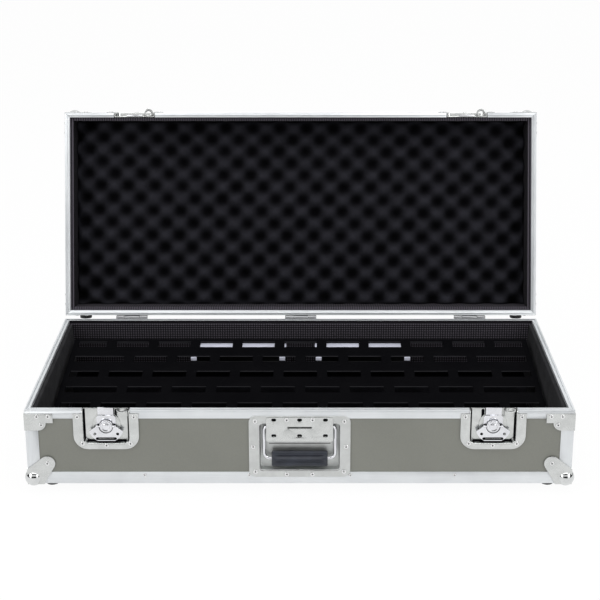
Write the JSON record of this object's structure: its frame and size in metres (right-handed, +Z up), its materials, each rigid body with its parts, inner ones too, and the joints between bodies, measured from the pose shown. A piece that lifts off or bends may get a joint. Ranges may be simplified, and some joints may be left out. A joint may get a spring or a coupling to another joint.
{
  "type": "guitar pedal case",
  "caption": "Flight case for effect pedals: laminated panels in aluminium edges, butterfly latches, sprung handle, hinged foam-lined lid and a lift-out slotted pedalboard.",
  "frame": {"origin": "on the floor, under the middle of the open case's bounding box", "axes": "+X along the case to the right, +Y to the back, where the hinges are, +Z up"},
  "size_m": [0.947, 0.5972, 0.5591],
  "materials": {
    "laminate": "satin",
    "aluminium": "satin anodised",
    "zinc_steel": "bright zinc plate",
    "chrome": "polished chrome",
    "rubber": "matt",
    "foam": "matt",
    "lining": "matt fabric",
    "board_paint": "matt black powder coat",
    "tray_aluminium": "satin"
  },
  "bodies": {
    "base": {"base_bottom_panel": "laminate", "base_front_panel": "laminate", "base_back_panel": "laminate", "base_side_panels": "laminate", "base_rim_profile": "aluminium", "base_bottom_angles": "aluminium", "base_corner_angles": "aluminium", "base_ball_corners": "zinc_steel", "base_brace_corners": "zinc_steel", "left_latch_dish": "zinc_steel", "right_latch_dish": "zinc_steel", "left_latch_plate": "zinc_steel", "right_latch_plate": "zinc_steel", "hook_pins": "zinc_steel", "base_padlock_tabs": "zinc_steel", "latch_rivets": "zinc_steel", "handle_dish": "zinc_steel", "handle_cover": "zinc_steel", "handle_bearings": "zinc_steel", "handle_springs": "zinc_steel", "handle_rivets": "zinc_steel", "hinge_base_leaves": "zinc_steel", "hinge_pins": "zinc_steel", "base_floor_liner": "lining", "base_wall_liners": "lining", "side_foam": "foam", "board_rests": "foam", "bottom_feet": "rubber", "base_rear_feet": "rubber"},
    "lid": {"lid_top_panel": "laminate", "lid_front_panel": "laminate", "lid_back_panel": "laminate", "lid_side_panels": "laminate", "lid_rim_profile": "aluminium", "lid_top_angles": "aluminium", "lid_corner_angles": "aluminium", "lid_ball_corners": "zinc_steel", "lid_brace_corners": "zinc_steel", "left_keeper_dish": "zinc_steel", "right_keeper_dish": "zinc_steel", "left_keeper": "chrome", "right_keeper": "chrome", "lid_padlock_tabs": "zinc_steel", "keeper_rivets": "zinc_steel", "hinge_lid_leaves": "zinc_steel", "lid_rear_feet": "rubber", "lid_liner": "lining", "lid_foam": "foam"},
    "handle": {"handle_bail": "chrome", "handle_grip": "rubber"},
    "board": {"pedal_board": "board_paint", "board_rails": "board_paint", "board_feet": "rubber", "power_trays": "tray_aluminium"},
    "left_hub": {"left_latch_hub": "chrome"},
    "left_wing": {"left_latch_wing": "chrome"},
    "left_hook": {"left_latch_hook": "chrome"},
    "right_hub": {"right_latch_hub": "chrome"},
    "right_wing": {"right_latch_wing": "chrome"},
    "right_hook": {"right_latch_hook": "chrome"}
  },
  "joints": [
    {"name": "lid_hinge", "type": "hinge", "parent": "base", "child": "lid", "pos_m": [0, 0.11703, 0.1577], "axis": [1, 0, 0], "range_deg": [0, 105]},
    {"name": "handle_swing", "type": "hinge", "parent": "base", "child": "handle", "pos_m": [0, -0.28672, 0.125], "axis": [-1, 0, 0], "range_deg": [0, 90], "stiffness_Nm_per_rad": 0.15, "springref_deg": -20.05},
    {"name": "board_lift", "type": "slide", "parent": "base", "child": "board", "axis": [0, 0, -1], "range_m": [-0.15, 0]},
    {"name": "left_latch_turn", "type": "hinge", "parent": "base", "child": "left_hub", "pos_m": [-0.33, -0.29192, 0.1265], "axis": [0, -1, 0], "range_deg": [0, 180]},
    {"name": "left_wing_fold", "type": "hinge", "parent": "left_hub", "child": "left_wing", "pos_m": [-0.33, -0.29052, 0.1265], "axis": [-1, 0, 0], "range_deg": [0, 90]},
    {"name": "left_hook_swing", "type": "hinge", "parent": "base", "child": "left_hook", "pos_m": [-0.33, -0.28582, 0.1125], "axis": [-1, 0, 0], "range_deg": [0, 3]},
    {"name": "right_latch_turn", "type": "hinge", "parent": "base", "child": "right_hub", "pos_m": [0.33, -0.29192, 0.1265], "axis": [0, -1, 0], "range_deg": [0, 180]},
    {"name": "right_wing_fold", "type": "hinge", "parent": "right_hub", "child": "right_wing", "pos_m": [0.33, -0.29052, 0.1265], "axis": [-1, 0, 0], "range_deg": [0, 90]},
    {"name": "right_hook_swing", "type": "hinge", "parent": "base", "child": "right_hook", "pos_m": [0.33, -0.28582, 0.1125], "axis": [-1, 0, 0], "range_deg": [0, 3]}
  ],
  "couplings": [
    {"joint": "left_hook_swing", "follows": "left_latch_turn", "ratio": 0.016667},
    {"joint": "right_hook_swing", "follows": "right_latch_turn", "ratio": 0.016667}
  ]
}
